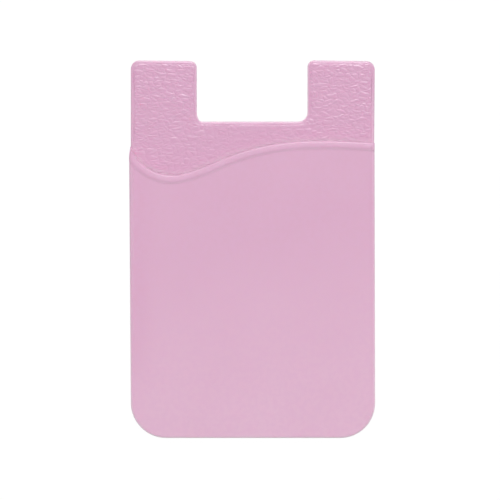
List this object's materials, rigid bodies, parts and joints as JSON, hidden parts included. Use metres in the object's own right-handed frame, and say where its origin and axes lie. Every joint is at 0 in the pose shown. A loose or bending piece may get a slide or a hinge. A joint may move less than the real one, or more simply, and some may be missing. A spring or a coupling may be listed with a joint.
{
  "type": "stick on phone card holder",
  "caption": "Flat soft silicone pocket for bank cards with a curved mouth, tabs and a thumb notch, and an adhesive back that sticks to a phone.",
  "frame": {"origin": "middle of the holder's outline, on the plane that it lies on, which is the outer face of the release liner", "axes": "+X across the holder to the right as seen from the front, +Y along it from the foot to the tabs, +Z out of the front face"},
  "size_m": [0.0572, 0.088, 0.0039],
  "materials": {
    "silicone": "matte, soft pink; leather grain on the back sheet, smooth on the front panel",
    "adhesive": "milky foam tape",
    "liner_paper": "smooth coated release paper"
  },
  "bodies": {
    "root": {"silicone_pouch": "silicone", "adhesive_pad": "adhesive", "release_liner": "liner_paper"}
  },
  "joints": []
}
